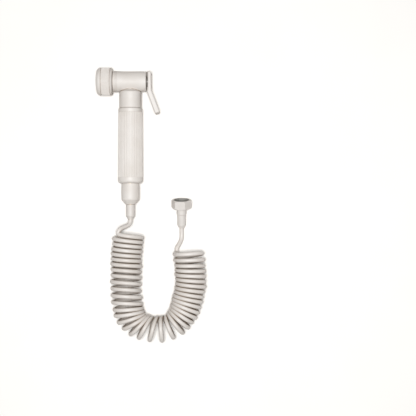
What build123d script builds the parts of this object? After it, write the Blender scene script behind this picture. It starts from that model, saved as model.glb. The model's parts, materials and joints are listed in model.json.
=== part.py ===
"""Handheld bath sprayer with a thumb lever and a coiled hose, lying on a flat surface.

The handset's spray axis runs along X and its handle runs down -Y. The coiled hose makes a U
and ends in a threaded nut, which lies tilted on its own edge. The surface is Z = 0.
"""

import math
import os

from build123d import *

# ---- Driving dimensions, in millimetres ----

# Handset, measured from where the spray axis crosses the handle axis
ring_r = 18.85
face_reach = 45.7
lever_reach = 40.3
hose_start = 186.5

# Head body
barrel_r = 13.6
barrel_front = 23.3
barrel_rear = -21.6
spigot_r = 12.2
spigot_end = 40.0
front_chamber_r = 9.5
rear_chamber_r = 7.5
socket_r = 10.0
socket_floor = -9.5
seat_web = 7.0
seat_face = 9.5
orifice_r = 4.2
neck_r = 15.0
neck_end = 36.2

# Grip
pipe_r = 10.4
pipe_bore_r = 7.5
pipe_top = 18.0
pipe_end = 149.5
sleeve_top_r = 16.3
sleeve_end_r = 16.85
sleeve_end = 138.3
rib_start = 41.8
rib_end = 130.4
rib_count = 40
rib_groove_r = 0.8
rib_depth = 0.5

# Lever, valve and spring
lever_half_width = 12.0
lever_wall = 1.8
pivot_right = 26.4
pivot_up = 10.5
pin_r = 1.25
pin_half_length = 10.4
stem_r = 2.5
spring_wire_r = 0.4
spring_r = 3.3
spring_turns = 6

# Hose and its end fittings
hose_r = 3.0
coil_r = 21.4
thread_r = 10.4
flange_r = 9.6
barb_r = 2.6
water_r = 1.6
inlet_tilt = 14.0
nut_flats = 24.0
nut_length = 11.75
nut_turn = 8.0

# Clearances
running = 0.08
gap = 0.15

# ---- Frame: the origin is under the middle of the handset ----

head_x = (face_reach - lever_reach) / 2
head_y = (hose_start - ring_r) / 2
crossing = Vector(head_x, head_y, ring_r)

# Profile planes: local X is the radius and local Y runs along the axis
spray = Plane(origin=crossing, x_dir=(0, 0, 1), z_dir=(0, -1, 0))
handle = Plane(origin=crossing, x_dir=(0, 0, 1), z_dir=(1, 0, 0))
side = Plane(origin=crossing, x_dir=(1, 0, 0), z_dir=(0, 0, 1))

tilt_sin = math.sin(math.radians(inlet_tilt))
tilt_cos = math.cos(math.radians(inlet_tilt))
inlet_base = Vector(head_x + 69.3, head_y - 172.2, 12.5)
inlet = Plane(origin=inlet_base, x_dir=(0, -tilt_sin, tilt_cos), z_dir=(-1, 0, 0))


def turned(plane, *outline, mode=Mode.ADD):
    """Revolve an outline of (radius, distance[, rounding]) corners about the plane's axis."""
    corners = [corner[:2] for corner in outline]
    roundings = [corner[2] if len(corner) == 3 else 0 for corner in outline]
    with BuildSketch(plane) as profile:
        with BuildLine():
            FilletPolyline(*corners, radius=roundings, close=True)
        make_face()
    revolve(profile.sketch, axis=Axis(plane.origin, plane.y_dir), mode=mode)


def drilled(plane, radius, start, end):
    """Cut a round hole along the plane's axis."""
    turned(plane, (0, start), (radius, start), (radius, end), (0, end), mode=Mode.SUBTRACT)


def across(plane, distance):
    """A plane square to the axis at a distance along it."""
    return Plane(
        origin=plane.origin + plane.y_dir * distance, x_dir=plane.x_dir, z_dir=plane.y_dir
    )


def finish(part, label):
    part.label = label
    export_step(part, f"parts/{label}.step")


os.makedirs("parts", exist_ok=True)

# ---- Head body: barrel, threaded spigot and neck in one piece ----

with BuildPart() as head_body:
    turned(
        spray,
        (0, barrel_rear),
        (barrel_r - 0.4, barrel_rear),
        (barrel_r, barrel_rear + 0.4),
        (barrel_r, 12.0),
        (14.0, 17.5),
        (14.0, barrel_front, 0.6),
        (spigot_r, barrel_front),
        (spigot_r, spigot_end),
        (0, spigot_end),
    )
    # Fine turned rings in front of the face ring
    for ring_line in (18.2, 19.7, 21.2):
        turned(
            spray,
            (13.75, ring_line),
            (14.2, ring_line - 0.3),
            (14.2, ring_line + 0.3),
            mode=Mode.SUBTRACT,
        )
    turned(
        handle,
        (0, 0),
        (9.0, 0),
        (9.0, 10.6),
        (neck_r, 14.4, 1.2),
        (neck_r, neck_end - 0.4),
        (neck_r - 0.4, neck_end),
        (0, neck_end),
    )
    drilled(spray, socket_r, barrel_rear, socket_floor)
    drilled(spray, rear_chamber_r, socket_floor, seat_web)
    drilled(spray, orifice_r, seat_web, seat_face)
    drilled(spray, rear_chamber_r, seat_face, seat_face + 1.1)
    drilled(spray, front_chamber_r, seat_face + 1.1, spigot_end)
    drilled(spray, 10.3, 26.55, 27.65)
    drilled(handle, 6.0, 0, pipe_top - 1.5)
    drilled(handle, pipe_r, pipe_top - 1.5, neck_end)
finish(head_body.part, "head_body")

# ---- Face ring: a knurled union nut with a rounded nose ----

with BuildPart() as face_ring:
    turned(
        spray,
        (spigot_r + running, barrel_front + 0.5),
        (15.2, barrel_front + 0.5),
        (ring_r, 25.3, 0.6),
        (ring_r, face_reach, 5.6),
        (12.4, face_reach, 0.4),
        (12.4, 43.4),
        (15.1, 43.4),
        (15.1, 39.0),
        (spigot_r + running, 39.0),
    )
    # A V groove at each end of the knurled band
    for band_end in (26.9, 39.4):
        turned(
            spray,
            (ring_r - 0.7, band_end),
            (ring_r + 0.1, band_end - 0.7),
            (ring_r + 0.1, band_end + 0.7),
            mode=Mode.SUBTRACT,
        )
    with BuildSketch(across(spray, 27.5)):
        with PolarLocations(ring_r + 0.1, 72):
            Circle(0.55)
    extrude(amount=11.4, mode=Mode.SUBTRACT)
finish(face_ring.part, "face_ring")

# ---- Spray plate: rings of small holes about a centre hole ----

with BuildPart() as spray_plate:
    turned(
        spray,
        (0, 41.6 + gap),
        (15.0, 41.6 + gap),
        (15.0, 43.4),
        (11.9, 43.4),
        (11.4, 44.0),
        (0, 44.0),
    )
    with BuildSketch(across(spray, 41.0)):
        Circle(0.6)
        for hole_ring in range(1, 4):
            with PolarLocations(hole_ring * 3.1, hole_ring * 6):
                Circle(0.6)
    extrude(amount=4.0, mode=Mode.SUBTRACT)
finish(spray_plate.part, "spray_plate")

with BuildPart() as spray_gasket:
    turned(spray, (9.7, 40.0), (12.2, 40.0), (12.2, 41.6), (9.7, 41.6))
finish(spray_gasket.part, "spray_gasket")

# ---- Valve: seat, stem with its seal, return spring, retainer and clip ----

with BuildPart() as valve_seat:
    turned(
        spray,
        (orifice_r, seat_face),
        (rear_chamber_r, seat_face),
        (rear_chamber_r, 11.0),
        (orifice_r + 0.6, 11.0),
        (orifice_r, 10.4),
    )
finish(valve_seat.part, "valve_seat")

seal_start = 11.1
seal_end = 12.9
stem_tip = -24.2
flange_end = 14.1
retainer_face = 24.5

with BuildPart() as valve_stem:
    turned(
        spray,
        (0, stem_tip),
        (stem_r, stem_tip, 0.8),
        (stem_r, seal_end),
        (5.6, seal_end),
        (5.6, flange_end, 0.4),
        (2.0, flange_end),
        (2.0, 17.5, 0.6),
        (0, 17.5),
    )
finish(valve_stem.part, "valve_stem")

with BuildPart() as valve_seal:
    turned(
        spray,
        (stem_r, seal_start),
        (6.2, seal_start),
        (6.2, seal_end),
        (stem_r, seal_end),
    )
finish(valve_seal.part, "valve_seal")

spring_start = flange_end + spring_wire_r + 0.05
spring_height = retainer_face - spring_wire_r - 0.05 - spring_start

with BuildPart() as valve_spring:
    with BuildLine() as spring_path:
        Helix(
            pitch=spring_height / spring_turns,
            height=spring_height,
            radius=spring_r,
            center=crossing - Vector(spring_start, 0, 0),
            direction=(-1, 0, 0),
        )
    with BuildSketch(Plane(origin=spring_path.line @ 0, z_dir=spring_path.line % 0)):
        Circle(spring_wire_r)
    sweep()
finish(valve_spring.part, "valve_spring")

with BuildPart() as spring_retainer:
    turned(
        spray,
        (0, 21.5),
        (2.3, 21.5, 0.4),
        (2.3, retainer_face),
        (front_chamber_r, retainer_face),
        (front_chamber_r, 26.5),
        (0, 26.5),
    )
    with BuildSketch(across(spray, retainer_face)):
        with PolarLocations(6.4, 8):
            Circle(1.4)
    extrude(amount=2.0, mode=Mode.SUBTRACT)
finish(spring_retainer.part, "spring_retainer")

with BuildPart() as retainer_clip:
    turned(spray, (8.2, 26.6), (10.3, 26.6), (10.3, 27.6), (8.2, 27.6))
    with BuildSketch(across(spray, 26.6)):
        with Locations((9.0, 0)):
            Rectangle(4.0, 3.5)
    extrude(amount=1.0, mode=Mode.SUBTRACT)
finish(retainer_clip.part, "retainer_clip")

# ---- Rear cap: a threaded plug, its hub and the lug that carries the lever ----

hub_r = 7.5
hub_end = -22.9
lug_half_width = 3.0
lug_r = 2.4

with BuildPart() as rear_cap:
    turned(
        spray,
        (stem_r + 0.05, hub_end),
        (hub_r, hub_end, 0.5),
        (hub_r, barrel_rear),
        (socket_r, barrel_rear),
        (socket_r, -11.0),
        (stem_r + 0.05, -11.0),
    )
    with BuildSketch(side):
        with Locations((pivot_right, pivot_up)):
            Circle(lug_r)
        with BuildLine():
            Polyline((-barrel_rear, 5.5), (-barrel_rear, pivot_up + lug_r))
        make_hull()
        with Locations((pivot_right, pivot_up)):
            Circle(pin_r + 0.05, mode=Mode.SUBTRACT)
    extrude(amount=lug_half_width, both=True)
    turned(
        spray,
        (stem_r, -18.0),
        (4.3, -18.0),
        (4.3, -16.1),
        (stem_r, -16.1),
        mode=Mode.SUBTRACT,
    )
finish(rear_cap.part, "rear_cap")

with BuildPart() as stem_seal:
    with BuildSketch(spray):
        with Locations((3.4, -17.05)):
            Circle(0.86)
    revolve(axis=Axis(spray.origin, spray.y_dir))
finish(stem_seal.part, "stem_seal")

# ---- Lever: a channel with a forked top, a flat pad and a flared blade ----

blade_lean = math.radians(18.2)
web = 2.2
lever_front = 23.8
lever_back = 28.5
lever_top = 13.0
bend_up = -12.0
blade_end = -44.6

with BuildPart() as lever:
    with BuildSketch(side):
        with BuildLine():
            FilletPolyline(
                (lever_front, lever_top),
                (lever_back, lever_top),
                (lever_back + 0.6, bend_up),
                (lever_reach + 0.2, blade_end + 2.2),
                (34.0, blade_end),
                (lever_front - 1.1, bend_up - 2.2),
                (lever_front, bend_up),
                radius=[0.6, 2.6, 14.0, 2.2, 2.2, 2.0, 2.0],
                close=True,
            )
        make_face()
    extrude(amount=lever_half_width, both=True)
    # Round the two long outer edges, which the fingers touch
    outer_edges = [
        edge
        for edge in lever.edges().filter_by(Plane.XY)
        if edge.center().X - head_x + math.tan(blade_lean) * (edge.center().Y - head_y) > 25
    ]
    fillet(outer_edges, 2.0)
    # Hollow side, open towards the handle
    with BuildSketch(side):
        with BuildLine():
            FilletPolyline(
                (lever_front - 6.0, lever_top - web),
                (lever_back - web, lever_top - web),
                (lever_back - web + 0.4, bend_up - 0.4),
                (lever_reach - web - 1.0, blade_end + web + 1.6),
                (33.5, blade_end + web + 0.4),
                (lever_front - 6.0, bend_up - 8.0),
                radius=[0, 1.0, 14.0, 1.0, 0, 0],
                close=True,
            )
        make_face()
    extrude(amount=lever_half_width - lever_wall, both=True, mode=Mode.SUBTRACT)
    # Nose that pushes the stem
    with BuildSketch(side):
        with Locations((lever_back - web, 0)):
            Circle(2.0)
            Rectangle(2.0, 7.0)
    extrude(amount=4.0, both=True)
    # Fork and blind pin holes at the top
    with BuildSketch(side):
        with Locations((lever_front, pivot_up + 4.0)):
            Rectangle(20.0, 16.4)
    extrude(amount=lug_half_width + 0.4, both=True, mode=Mode.SUBTRACT)
    with BuildSketch(side):
        with Locations((pivot_right, pivot_up)):
            Circle(pin_r)
    extrude(amount=pin_half_length + 0.1, both=True, mode=Mode.SUBTRACT)
finish(lever.part, "lever")

with BuildPart() as lever_pin:
    with BuildSketch(side):
        with Locations((pivot_right, pivot_up)):
            Circle(pin_r)
    extrude(amount=pin_half_length, both=True)
finish(lever_pin.part, "lever_pin")

# ---- Handle: pipe, its seal and the ribbed grip sleeve ----

with BuildPart() as handle_pipe:
    turned(
        handle,
        (pipe_bore_r, pipe_top),
        (pipe_r, pipe_top),
        (pipe_r, pipe_end - 0.6),
        (pipe_r - 0.6, pipe_end),
        (pipe_bore_r, pipe_end),
    )
finish(handle_pipe.part, "handle_pipe")

with BuildPart() as pipe_seal:
    turned(
        handle,
        (pipe_bore_r, pipe_top - 1.5),
        (pipe_r, pipe_top - 1.5),
        (pipe_r, pipe_top),
        (pipe_bore_r, pipe_top),
    )
finish(pipe_seal.part, "pipe_seal")

sleeve_taper = (sleeve_end_r - sleeve_top_r) / (sleeve_end - neck_end)

with BuildPart() as grip_sleeve:
    turned(
        handle,
        (pipe_r, neck_end),
        (14.9, neck_end),
        (sleeve_top_r, neck_end + 1.2, 0.8),
        (sleeve_end_r, sleeve_end, 3.8),
        (pipe_r, sleeve_end),
        (pipe_r, sleeve_end - 8.0),
        (13.6, sleeve_end - 11.0),
        (13.6, neck_end + 8.0),
        (pipe_r, neck_end + 5.0),
    )
    # Lengthwise grooves between the ribs, which follow the sleeve's taper
    for rib in range(rib_count):
        turn = 2 * math.pi * rib / rib_count
        outward = Vector(math.sin(turn), 0, math.cos(turn))
        groove_r = sleeve_top_r + sleeve_taper * (rib_start - neck_end) + rib_groove_r - rib_depth
        groove_top = crossing + outward * groove_r - Vector(0, rib_start, 0)
        groove_line = outward * sleeve_taper - Vector(0, 1, 0)
        with BuildSketch(Plane(origin=groove_top, z_dir=groove_line)):
            Circle(rib_groove_r)
    extrude(amount=rib_end - rib_start, mode=Mode.SUBTRACT)
finish(grip_sleeve.part, "grip_sleeve")


# ---- Handset end of the hose: nut, washer, insert and ferrule ----

washer_start = pipe_end + 0.1
insert_start = washer_start + 2.0
insert_flange = 1.75
shoulder = insert_start + insert_flange + gap
ferrule_start = 167.25
insert_end = 181.0
insert_neck_r = 5.5

with BuildPart() as hose_nut:
    turned(
        handle,
        (thread_r + running, sleeve_end + gap),
        (11.75, sleeve_end + gap),
        (12.2, sleeve_end + 5.0),
        (12.2, 160.6, 3.5),
        (6.7, 167.1, 0.5),
        (insert_neck_r + running, 167.1),
        (insert_neck_r + running, shoulder),
        (thread_r + running, shoulder),
    )
finish(hose_nut.part, "hose_nut")

with BuildPart() as handset_washer:
    turned(
        handle,
        (5.5, washer_start),
        (flange_r + 0.4, washer_start),
        (flange_r + 0.4, insert_start),
        (5.5, insert_start),
    )
finish(handset_washer.part, "handset_washer")

with BuildPart() as handset_insert:
    turned(
        handle,
        (water_r, insert_start),
        (flange_r, insert_start),
        (flange_r, insert_start + insert_flange),
        (insert_neck_r, insert_start + insert_flange),
        (insert_neck_r, ferrule_start),
        (barb_r, ferrule_start),
        (barb_r, insert_end - 1.0),
        (barb_r - 0.4, insert_end),
        (water_r, insert_end),
    )
    for barb in range(4):
        turned(
            handle,
            (barb_r - 0.35, ferrule_start + 2.2 + 2.8 * barb),
            (barb_r + 0.2, ferrule_start + 2.2 + 2.8 * barb),
            (barb_r + 0.2, ferrule_start + 4.6 + 2.8 * barb),
            mode=Mode.SUBTRACT,
        )
finish(handset_insert.part, "handset_insert")

with BuildPart() as handset_ferrule:
    turned(
        handle,
        (0, insert_end),
        (barb_r, insert_end),
        (barb_r, ferrule_start),
        (6.0, ferrule_start, 0.3),
        (6.0, 183.6, 0.8),
        (4.35, 184.6),
        (4.35, hose_start, 0.3),
        (0, hose_start),
    )
finish(handset_ferrule.part, "handset_ferrule")

# ---- Inlet end of the hose, measured from the nut's base: + is towards its mouth ----

inlet_floor = 2.6
inlet_neck_r = 4.8
inlet_flange_start = inlet_floor + gap
inlet_flange_end = inlet_flange_start + 1.7
inlet_washer_end = inlet_flange_end + 2.0
collar_end = -8.5
inlet_ferrule_start = collar_end - 0.1
inlet_ferrule_end = -26.95

with BuildPart() as inlet_nut:
    with BuildSketch(across(inlet, 0)):
        RegularPolygon(nut_flats / 2, 6, major_radius=False, rotation=30 - nut_turn)
    extrude(amount=nut_length)
    # Both ends of the hexagon are turned down to a bevel
    turned(
        inlet,
        (0, 0),
        (nut_flats / 2 - 0.2, 0),
        (nut_flats / 2 + 2.2, 1.4),
        (nut_flats / 2 + 2.2, nut_length - 1.4),
        (nut_flats / 2 - 0.2, nut_length),
        (0, nut_length),
        mode=Mode.INTERSECT,
    )
    drilled(inlet, thread_r + 0.3, inlet_floor, inlet_washer_end)
    drilled(inlet, thread_r + running, inlet_washer_end, nut_length)
    drilled(inlet, inlet_neck_r + running, 0, inlet_floor)
finish(inlet_nut.part, "inlet_nut")

with BuildPart() as inlet_washer:
    turned(
        inlet,
        (5.0, inlet_flange_end),
        (thread_r - 0.2, inlet_flange_end),
        (thread_r - 0.2, inlet_washer_end),
        (5.0, inlet_washer_end),
    )
finish(inlet_washer.part, "inlet_washer")

with BuildPart() as inlet_filter:
    turned(
        inlet,
        (0, inlet_flange_end + 0.5),
        (5.0, inlet_flange_end + 0.5),
        (5.0, inlet_flange_end + 1.2),
        (0, inlet_flange_end + 1.2),
    )
    with BuildSketch(across(inlet, inlet_flange_end)):
        Circle(0.5)
        for hole_ring in range(1, 4):
            with PolarLocations(hole_ring * 1.3, hole_ring * 6):
                Circle(0.4)
    extrude(amount=2.0, mode=Mode.SUBTRACT)
finish(inlet_filter.part, "inlet_filter")

with BuildPart() as inlet_insert:
    turned(
        inlet,
        (water_r, inlet_flange_end),
        (flange_r, inlet_flange_end),
        (flange_r, inlet_flange_start),
        (inlet_neck_r, inlet_flange_start),
        (inlet_neck_r, inlet_ferrule_start),
        (barb_r, inlet_ferrule_start),
        (barb_r, -20.0),
        (barb_r - 0.4, -21.0),
        (water_r, -21.0),
    )
    for barb in range(4):
        turned(
            inlet,
            (barb_r - 0.35, inlet_ferrule_start - 1.8 - 2.4 * barb),
            (barb_r + 0.2, inlet_ferrule_start - 1.8 - 2.4 * barb),
            (barb_r + 0.2, inlet_ferrule_start - 3.8 - 2.4 * barb),
            mode=Mode.SUBTRACT,
        )
finish(inlet_insert.part, "inlet_insert")

with BuildPart() as inlet_collar:
    turned(
        inlet,
        (inlet_neck_r, -gap),
        (6.65, -gap, 0.3),
        (6.65, collar_end, 0.5),
        (inlet_neck_r, collar_end),
    )
finish(inlet_collar.part, "inlet_collar")

with BuildPart() as inlet_ferrule:
    turned(
        inlet,
        (0, -21.0),
        (barb_r, -21.0),
        (barb_r, inlet_ferrule_start),
        (5.85, inlet_ferrule_start, 0.3),
        (5.85, -23.5, 1.5),
        (4.35, inlet_ferrule_end, 0.3),
        (0, inlet_ferrule_end),
    )
finish(inlet_ferrule.part, "inlet_ferrule")

# ---- Hose: a fat tube round the coil, and a plain tail at each end ----

coil_z = coil_r + 0.05
coil_route = [
    (0.0, -125.0, coil_z),
    (-2.5, -151.0, coil_z),
    (-3.0, -180.0, coil_z),
    (-2.5, -221.0, coil_z),
    (5.5, -242.5, coil_z),
    (23.0, -252.0, coil_z),
    (45.0, -253.0, coil_z),
    (63.0, -248.0, coil_z),
    (75.0, -231.0, coil_z),
    (83.0, -206.0, coil_z),
    (86.0, -177.0, coil_z),
    (80.8, -147.0, coil_z),
]
handset_tail_route = [
    crossing - Vector(0, hose_start, 0),
    (2.7, -106.6, 18.85),
    (1.0, -110.4, 20.1),
    (-2.2, -112.9, 24.0),
    (-6.4, -114.2, 29.0),
    (-10.2, -116.4, 32.8),
    (-12.65, -119.7, 34.0),
    (-13.0, -123.7, 34.0),
]
inlet_tail_route = [
    inlet_base + inlet.y_dir * inlet_ferrule_end,
    inlet_base + inlet.y_dir * (inlet_ferrule_end - 6.4),
    (72.2, -127.0, 3.6),
    (71.2, -132.8, 5.2),
    (68.2, -138.6, 8.2),
    (65.0, -143.5, 10.9),
    (66.0, -149.35, 10.9),
]


def bend_radii(route):
    """The largest radius that each corner's two runs allow."""
    points = [Vector(*point) for point in route]
    radii = []
    for before, corner, after in zip(points, points[1:], points[2:]):
        turn = (corner - before).get_angle(after - corner)
        shorter = min((corner - before).length, (after - corner).length)
        radii.append(0.45 * shorter / math.tan(math.radians(turn / 2)))
    return radii


def hose_path(route):
    """Straight runs joined by tangent arcs."""
    with BuildLine() as path:
        FilletPolyline(*route, radius=bend_radii(route))
    return path.wire()


for label, route, radius in (
    ("hose_coil", coil_route, coil_r),
    ("hose_tail_handset", handset_tail_route, hose_r),
    ("hose_tail_inlet", inlet_tail_route, hose_r),
):
    path = hose_path(route)
    with BuildPart() as hose:
        with BuildSketch(Plane(origin=path @ 0, z_dir=path % 0)):
            Circle(radius)
        sweep(path=path)
    finish(hose.part, label)
    print(label, "bend radii", [round(bend, 1) for bend in bend_radii(route)])
    print("  length", round(path.length, 1))
    print("  volume over section x length", hose.part.volume / (math.pi * radius**2 * path.length))
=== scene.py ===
"""The looks of a handheld bath sprayer: its hose, spring, materials, floor, light and camera."""

import json
import math

import bpy
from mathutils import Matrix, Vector


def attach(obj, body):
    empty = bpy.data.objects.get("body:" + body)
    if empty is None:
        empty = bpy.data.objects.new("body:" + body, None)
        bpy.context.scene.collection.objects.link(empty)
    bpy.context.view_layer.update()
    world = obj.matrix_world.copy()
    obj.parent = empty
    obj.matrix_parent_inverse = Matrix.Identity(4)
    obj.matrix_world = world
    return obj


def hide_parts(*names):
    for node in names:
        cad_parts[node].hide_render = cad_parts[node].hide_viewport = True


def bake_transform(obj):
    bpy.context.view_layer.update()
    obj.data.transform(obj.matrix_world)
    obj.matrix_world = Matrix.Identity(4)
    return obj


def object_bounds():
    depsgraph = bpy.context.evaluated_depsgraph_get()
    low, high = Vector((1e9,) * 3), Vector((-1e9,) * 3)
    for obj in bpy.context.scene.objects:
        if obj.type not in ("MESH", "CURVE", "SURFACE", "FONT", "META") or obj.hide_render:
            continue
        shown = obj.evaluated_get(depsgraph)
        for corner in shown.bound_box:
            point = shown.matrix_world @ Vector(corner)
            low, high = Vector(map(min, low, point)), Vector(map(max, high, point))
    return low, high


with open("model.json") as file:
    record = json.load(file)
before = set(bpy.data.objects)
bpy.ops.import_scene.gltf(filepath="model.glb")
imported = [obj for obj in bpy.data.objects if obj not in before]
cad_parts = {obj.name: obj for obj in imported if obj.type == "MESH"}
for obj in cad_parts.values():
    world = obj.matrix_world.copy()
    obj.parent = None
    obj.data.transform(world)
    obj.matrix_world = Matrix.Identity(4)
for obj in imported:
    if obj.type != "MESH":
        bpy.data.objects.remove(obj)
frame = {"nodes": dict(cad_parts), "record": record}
cad_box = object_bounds()

# ---- Camera: straight above the middle of the picture, on a long lens ----

view_width = 0.5658
lens_mm = 85
sensor_mm = 36
sight_x = 0.1082
sight_y = -0.0881
sight_height = 0.019
camera_height = sight_height + view_width * lens_mm / sensor_mm

camera_data = bpy.data.cameras.new("camera")
camera_data.lens = lens_mm
camera_data.sensor_width = sensor_mm
camera = bpy.data.objects.new("camera", camera_data)
camera.location = (sight_x, sight_y, camera_height)
bpy.context.scene.collection.objects.link(camera)
bpy.context.scene.camera = camera

# ---- Hose route, in metres: from the handset to the coil, along the coil, and to the nut ----

hose_d = 0.006
coil_strand_r = 0.0184
coil_turns = 37.475
coil_start_angle = math.radians(136)
points_per_turn = 20

handset_tail_route = [
    (0.0027, -0.102675, 0.01885),
    (0.0027, -0.1066, 0.01885),
    (0.001, -0.1104, 0.0201),
    (-0.0022, -0.1129, 0.024),
    (-0.0064, -0.1142, 0.029),
    (-0.0102, -0.1164, 0.0328),
    (-0.01265, -0.1197, 0.034),
    (-0.013, -0.1237, 0.034),
]
coil_height = 0.02145
coil_route = [
    (0.0, -0.125, coil_height),
    (-0.0025, -0.151, coil_height),
    (-0.003, -0.18, coil_height),
    (-0.0025, -0.221, coil_height),
    (0.0055, -0.2425, coil_height),
    (0.023, -0.252, coil_height),
    (0.045, -0.253, coil_height),
    (0.063, -0.248, coil_height),
    (0.075, -0.231, coil_height),
    (0.083, -0.206, coil_height),
    (0.086, -0.177, coil_height),
    (0.0808, -0.147, coil_height),
]
inlet_tail_route = [
    (0.066, -0.14935, 0.0109),
    (0.065, -0.1435, 0.0109),
    (0.0682, -0.1386, 0.0082),
    (0.0712, -0.1328, 0.0052),
    (0.0722, -0.127, 0.0036),
    (0.072, -0.120734, 0.004432),
    (0.072, -0.114524, 0.00598),
]

# Each stop is (share of the coil's length, value there), and values between stops are blended.
coil_spacing = [
    (0.0, 0.0064),
    (0.12, 0.0064),
    (0.15, 0.0072),
    (0.2, 0.0082),
    (0.25, 0.009),
    (0.34, 0.009),
    (0.36, 0.0061),
    (0.39, 0.0073),
    (0.44, 0.0073),
    (0.47, 0.007),
    (0.5, 0.0117),
    (0.58, 0.0109),
    (0.62, 0.0105),
    (0.645, 0.0071),
    (0.7, 0.0055),
    (0.82, 0.0062),
    (0.9, 0.0064),
    (0.95, 0.0075),
    (1.0, 0.0089),
]
# The direction of the U's inside, in degrees from +X.
coil_facing = [
    (0.0, -4),
    (0.12, -1),
    (0.33, 2),
    (0.38, 12),
    (0.43, 31),
    (0.48, 63),
    (0.52, 78),
    (0.6, 116),
    (0.66, 140),
    (0.7, 153),
    (0.76, 169),
    (0.82, 176),
    (1.0, 189),
]
# How wide a turn is, as a share of a round one.
coil_flatness = [(0.36, 1.0), (0.5, 0.82), (0.62, 0.82), (0.74, 1.0)]
# The share of a turn's advance that moves from the U's outside to its inside.
coil_fan = [(0.1, 0.0), (0.2, 0.9), (0.42, 0.95), (0.65, 0.95), (0.74, 0.0)]
# Waves in the turns' radius along the coil: (height in metres, radians a turn, start in radians).
coil_waves = [(0.0004, 2.3, 0.0), (0.0003, 5.1, 1.0)]


def blended(stops, share):
    """The value at a share of the way along a list of stops."""
    if share <= stops[0][0]:
        return stops[0][1]
    for (start, low), (end, high) in zip(stops, stops[1:]):
        if share <= end:
            part = (share - start) / (end - start)
            return low + (high - low) * part
    return stops[-1][1]


def smooth_curve(name, points, tube_r=0.0):
    """An object with one open NURBS spline that the points control, as a tube or a bare line."""
    data = bpy.data.curves.new(name, "CURVE")
    data.dimensions = "3D"
    spline = data.splines.new("NURBS")
    spline.points.add(len(points) - 1)
    for control, point in zip(spline.points, points):
        control.co = (*point, 1.0)
        control.radius = tube_r
    spline.order_u = 3
    spline.use_endpoint_u = True
    data.bevel_depth = 1.0 if tube_r else 0.0
    return bpy.data.objects.new(name, data)


def line_of(points):
    """Points along the smooth line that a route's points control."""
    guide = smooth_curve("guide", points)
    guide.data.resolution_u = 40
    mesh = bpy.data.meshes.new_from_object(guide)
    line = [vertex.co.copy() for vertex in mesh.vertices]
    bpy.data.meshes.remove(mesh)
    bpy.data.curves.remove(guide.data)
    return line


def measured(line):
    """The distance from the line's start to each of its points."""
    distances = [0.0]
    for before, after in zip(line, line[1:]):
        distances.append(distances[-1] + (after - before).length)
    return distances


def place_on(line, distances, distance):
    """The point at a distance along the line."""
    index = 1
    while index < len(line) - 1 and distances[index] < distance:
        index += 1
    run = line[index] - line[index - 1]
    part = (distance - distances[index - 1]) / run.length
    return line[index - 1] + run * part


def turn_distances(length, steps):
    """How far along the coil each step of an equal turn is."""
    slices = 2000
    turned = [0.0]
    for index in range(slices):
        turned.append(turned[-1] + 1 / blended(coil_spacing, (index + 0.5) / slices))
    distances = []
    index = 0
    for step in range(steps + 1):
        wanted = turned[-1] * step / steps
        while index < slices - 1 and turned[index + 1] < wanted:
            index += 1
        part = (wanted - turned[index]) / (turned[index + 1] - turned[index])
        distances.append(length * (index + part) / slices)
    return distances


def coil_points():
    """The points of the coil's turns, wound about the coil's route."""
    line = line_of(coil_route)
    distances = measured(line)
    length = distances[-1]
    steps = round(coil_turns * points_per_turn)
    # The spline runs inside its control points, so they stand out by this much
    swell = 1 / (0.75 + 0.25 * math.cos(math.tau / points_per_turn))
    points = []
    for step, distance in enumerate(turn_distances(length, steps)):
        turn = coil_turns * step / steps
        angle = coil_start_angle - math.tau * turn
        share = distance / length
        advance = blended(coil_spacing, share) * blended(coil_fan, share)
        shifted = distance - advance * math.sin(angle) / math.tau
        centre = place_on(line, distances, min(max(shifted, 0.0), length))
        facing = math.radians(blended(coil_facing, share))
        inward = Vector((math.cos(facing), math.sin(facing), 0))
        wobble = sum(size * math.sin(rate * turn + start) for size, rate, start in coil_waves)
        radius = (coil_strand_r + wobble) * swell
        across = inward * math.cos(angle) * radius * blended(coil_flatness, share)
        up = Vector((0, 0, 1)) * math.sin(angle) * coil_strand_r * swell
        points.append(centre + across + up)
    return points


def build_hose():
    """The hose and its length. A tenth of a turn at each end of the coil gives way to a tail."""
    lead = points_per_turn // 10
    hose_route = handset_tail_route + coil_points()[lead:-lead] + inlet_tail_route
    hose = smooth_curve("hose", hose_route, hose_d / 2)
    hose.data.resolution_u = 3
    hose.data.bevel_resolution = 5
    hose.data.use_fill_caps = True
    bpy.context.scene.collection.objects.link(hose)
    return hose, measured(line_of(hose_route))[-1]


hose, hose_length = build_hose()
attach(hose, "handset")
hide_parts("hose_tail_handset", "hose_coil", "hose_tail_inlet")

# ---- Return spring: a copy of the CAD spring, which stands in for the hidden CAD node ----


def build_spring():
    node = frame["nodes"]["valve_spring"]
    mesh = node.data.copy()
    mesh.transform(node.matrix_world)
    spring = bpy.data.objects.new("return_spring", mesh)
    bpy.context.scene.collection.objects.link(spring)
    return spring


spring = build_spring()
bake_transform(spring)
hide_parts("valve_spring")

# ---- Materials ----


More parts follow.
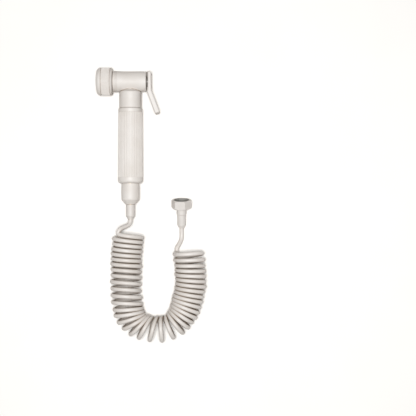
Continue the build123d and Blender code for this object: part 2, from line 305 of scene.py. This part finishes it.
class Surface:
    """A node material with a Principled shader, and the links between its nodes."""

    def __init__(self, name):
        self.material = bpy.data.materials.new(name)
        self.material.use_nodes = True
        self.tree = self.material.node_tree
        self.shader = self.tree.nodes["Principled BSDF"]
        self.place = self.node("ShaderNodeTexCoord").outputs["Object"]

    def node(self, kind, **settings):
        made = self.tree.nodes.new(kind)
        for key, value in settings.items():
            setattr(made, key, value)
        return made

    def link(self, output, target):
        self.tree.links.new(output, target)

    def noise(self, scale, detail=3.0, roughness=0.55, stretch=(1, 1, 1)):
        """Noise with a scale in features per metre."""
        mapping = self.node("ShaderNodeMapping")
        mapping.inputs["Scale"].default_value = stretch
        self.link(self.place, mapping.inputs["Vector"])
        texture = self.node("ShaderNodeTexNoise")
        texture.inputs["Scale"].default_value = scale
        texture.inputs["Detail"].default_value = detail
        texture.inputs["Roughness"].default_value = roughness
        self.link(mapping.outputs["Vector"], texture.inputs["Vector"])
        return texture.outputs["Fac"]

    def ranged(self, value, low, high, to_low, to_high):
        limits = self.node("ShaderNodeMapRange", interpolation_type="SMOOTHSTEP")
        limits.inputs["From Min"].default_value = low
        limits.inputs["From Max"].default_value = high
        limits.inputs["To Min"].default_value = to_low
        limits.inputs["To Max"].default_value = to_high
        self.link(value, limits.inputs["Value"])
        return limits.outputs["Result"]

    def product(self, first, second):
        maths = self.node("ShaderNodeMath", operation="MULTIPLY")
        self.link(first, maths.inputs[0])
        self.link(second, maths.inputs[1])
        return maths.outputs["Value"]

    def blend(self, share, first, second):
        """Two colours, or colour outputs, mixed by a share."""
        mix = self.node("ShaderNodeMix", data_type="RGBA")
        self.link(share, mix.inputs["Factor"])
        for colour, socket in ((first, mix.inputs["A"]), (second, mix.inputs["B"])):
            if isinstance(colour, tuple):
                socket.default_value = (*colour, 1.0)
            else:
                self.link(colour, socket)
        return mix.outputs["Result"]

    def edges(self, width):
        """1 on convex and concave edges that are sharper than the width, and 0 on open surface."""
        rounded = self.node("ShaderNodeBevel", samples=4)
        rounded.inputs["Radius"].default_value = width
        geometry = self.node("ShaderNodeNewGeometry")
        dot = self.node("ShaderNodeVectorMath", operation="DOT_PRODUCT")
        self.link(rounded.outputs["Normal"], dot.inputs[0])
        self.link(geometry.outputs["Normal"], dot.inputs[1])
        return self.ranged(dot.outputs["Value"], 0.995, 0.86, 0.0, 1.0)

    def recesses(self, reach, own=False):
        """1 deep in seams, gaps or the object's own hollows, and 0 on open surface."""
        nearby = self.node("ShaderNodeAmbientOcclusion", samples=8, only_local=own)
        nearby.inputs["Distance"].default_value = reach
        return self.ranged(nearby.outputs["AO"], 0.3, 0.93, 1.0, 0.0)

    def relief(self, height, depth):
        bump = self.node("ShaderNodeBump")
        bump.inputs["Strength"].default_value = 1.0
        bump.inputs["Distance"].default_value = depth
        self.link(height, bump.inputs["Height"])
        self.link(bump.outputs["Normal"], self.shader.inputs["Normal"])


# Painted shade colours, laid into recesses and hollows where shade falls.
painted_shade_colour = (0.27, 0.19, 0.125)
hollow_painted_shade = (0.1, 0.095, 0.08)


def moulded(name, colour, shade, edge_wear_and_shade, roughness, grain, depth, reach=0.0008, hollow=0.0):
    """Moulded or coated surface: mottling, grain, edge colour, and painted shade in recesses.

    Painted shade darkens the colour where another surface lies within the reach, and a hollow is a
    depth within which the object's own walls darken it with painted shade. The edge colour is wear
    where it is lighter, and painted shade where it is darker.
    """
    surface = Surface(name)
    clouds = surface.ranged(surface.noise(38), 0.3, 0.7, 0.0, 1.0)
    base = surface.blend(clouds, colour, shade)
    # Edges take the edge colour: wear where it is lighter than the base, painted shade where it is
    # darker.
    wear_and_shade_edges = surface.product(
        surface.edges(0.0005), surface.ranged(surface.noise(160), 0.35, 0.65, 0.25, 1.0)
    )
    open_colour = surface.blend(wear_and_shade_edges, base, edge_wear_and_shade)
    # Painted shade: the recesses mask lays a dark brown into seams, gaps and coil turns where shade
    # falls.
    shaded_colour = surface.blend(surface.recesses(reach), open_colour, painted_shade_colour)
    # Painted shade: the hollow's own walls darken it towards near-black.
    if hollow:
        shaded_colour = surface.blend(surface.recesses(hollow, own=True), shaded_colour, hollow_painted_shade)
    surface.link(shaded_colour, surface.shader.inputs["Base Color"])
    patches = surface.ranged(surface.noise(90, 5.0), 0.3, 0.7, roughness - 0.05, roughness + 0.07)
    surface.link(patches, surface.shader.inputs["Roughness"])
    surface.relief(surface.noise(grain, 2.0), depth)
    surface.shader.inputs["IOR"].default_value = 1.5
    return surface


def metal(name, colour, shade, roughness, stretch, depth):
    """Turned or drawn metal with fine lines along the tool's path."""
    surface = Surface(name)
    lines = surface.noise(900, 2.0, 0.6, stretch)
    tarnish = surface.ranged(surface.noise(70, 4.0), 0.4, 0.75, 0.0, 1.0)
    surface.link(surface.blend(tarnish, colour, shade), surface.shader.inputs["Base Color"])
    surface.link(
        surface.ranged(lines, 0.3, 0.7, roughness - 0.08, roughness + 0.1),
        surface.shader.inputs["Roughness"],
    )
    surface.shader.inputs["Metallic"].default_value = 1.0
    surface.relief(lines, depth)
    return surface


plastic = moulded(
    "body_plastic",
    colour=(0.64, 0.59, 0.545),
    shade=(0.60, 0.545, 0.495),
    edge_wear_and_shade=(0.70, 0.665, 0.63),
    roughness=0.55,
    grain=1500,
    depth=0.00002,
)
# The rear cap is near-black as painted shade: it fills the gap between the barrel and the lever,
# where shade falls.
cap_plastic = moulded(
    "cap_plastic",
    colour=(0.17, 0.15, 0.13),
    shade=(0.14, 0.125, 0.11),
    edge_wear_and_shade=(0.24, 0.22, 0.2),
    roughness=0.6,
    grain=1500,
    depth=0.00002,
)
# The grip's edge colour is darker than its base: painted shade along the edges of its ribs.
grip_plastic = moulded(
    "grip_plastic",
    colour=(0.65, 0.60, 0.555),
    shade=(0.61, 0.555, 0.505),
    edge_wear_and_shade=(0.56, 0.505, 0.455),
    roughness=0.5,
    grain=1800,
    depth=0.000015,
)
spray_plastic = moulded(
    "spray_plastic",
    colour=(0.58, 0.545, 0.51),
    shade=(0.54, 0.50, 0.46),
    edge_wear_and_shade=(0.64, 0.61, 0.58),
    roughness=0.5,
    grain=1500,
    depth=0.00002,
)
# The coated parts' hollow darkens the inlet nut's bore with painted shade, and the longer reach
# paints shade into nearby seams.
coated = moulded(
    "coated_metal",
    colour=(0.61, 0.565, 0.525),
    shade=(0.57, 0.52, 0.475),
    edge_wear_and_shade=(0.68, 0.65, 0.62),
    roughness=0.55,
    grain=1200,
    depth=0.00003,
    reach=0.002,
    hollow=0.03,
)
# The hose's long reach paints shade into the gaps between the coil's turns and onto the turns inside
# the coil.
hose_plastic = moulded(
    "hose_plastic",
    colour=(0.64, 0.59, 0.545),
    shade=(0.59, 0.535, 0.485),
    edge_wear_and_shade=(0.70, 0.665, 0.63),
    roughness=0.48,
    grain=900,
    depth=0.00002,
    reach=0.02,
)
rubber = moulded(
    "rubber",
    colour=(0.035, 0.035, 0.035),
    shade=(0.05, 0.05, 0.048),
    edge_wear_and_shade=(0.09, 0.09, 0.088),
    roughness=0.7,
    grain=2200,
    depth=0.00003,
)
brass = metal(
    "brass",
    colour=(0.5, 0.37, 0.19),
    shade=(0.38, 0.27, 0.14),
    roughness=0.45,
    stretch=(1, 8, 8),
    depth=0.00001,
)
steel = metal(
    "steel",
    colour=(0.4, 0.39, 0.38),
    shade=(0.3, 0.29, 0.28),
    roughness=0.42,
    stretch=(6, 6, 1),
    depth=0.00001,
)

by_slot = {
    "body_plastic": plastic,
    "cap_plastic": cap_plastic,
    "grip_plastic": grip_plastic,
    "spray_plastic": spray_plastic,
    "coated_metal": coated,
    "hose": hose_plastic,
    "brass": brass,
    "steel": steel,
    "rubber": rubber,
}


def dress():
    """Give each CAD node, the hose and the spring the material of the slot that the record names."""
    for subpart in frame["record"]["subparts"]:
        node = frame["nodes"][subpart["node"]]
        for slot in node.material_slots:
            slot.link = "OBJECT"
            slot.material = by_slot[subpart["material_slot"]].material
    hose.data.materials.append(hose_plastic.material)
    spring.data.materials.clear()
    spring.data.materials.append(steel.material)


dress()

# ---- Floor and light ----

floor_half = 1.6
floor_clearance = 0.0002
paper_colour = (0.84, 0.80, 0.755)
paper_shade = (0.825, 0.785, 0.74)
light_place = Vector((0.09, -0.1, 1.9))
light_target = Vector((0.06, -0.09, 0.0))
light_size = 0.4
light_watts = 47
light_colour = (0.94, 0.972, 1.0)
world_colour = (1.0, 0.99, 0.975, 1.0)
world_strength = 0.08


def build_floor():
    mesh = bpy.data.meshes.new("floor")
    corners = [(x * floor_half, y * floor_half, 0) for x, y in ((-1, -1), (1, -1), (1, 1), (-1, 1))]
    mesh.from_pydata(corners, [], [(0, 1, 2, 3)])
    floor = bpy.data.objects.new("floor", mesh)
    floor.location.z = cad_box[0].z - floor_clearance
    surface = Surface("floor_paper")
    tone = surface.ranged(surface.noise(6), 0.3, 0.7, 0.0, 1.0)
    surface.link(
        surface.blend(tone, paper_colour, paper_shade), surface.shader.inputs["Base Color"]
    )
    surface.shader.inputs["Roughness"].default_value = 0.9
    mesh.materials.append(surface.material)
    bpy.context.scene.collection.objects.link(floor)


def build_light():
    data = bpy.data.lights.new("overhead", "AREA")
    data.shape = "SQUARE"
    data.size = light_size
    data.energy = light_watts
    data.color = light_colour
    light = bpy.data.objects.new("overhead", data)
    light.location = light_place
    light.rotation_euler = (light_target - light_place).to_track_quat("-Z", "Y").to_euler()
    bpy.context.scene.collection.objects.link(light)


def build_world():
    world = bpy.data.worlds.new("studio")
    world.use_nodes = True
    background = world.node_tree.nodes["Background"]
    background.inputs["Color"].default_value = world_colour
    background.inputs["Strength"].default_value = world_strength
    bpy.context.scene.world = world


build_floor()
build_world()
build_light()

bpy.context.scene.view_settings.view_transform = "Standard"
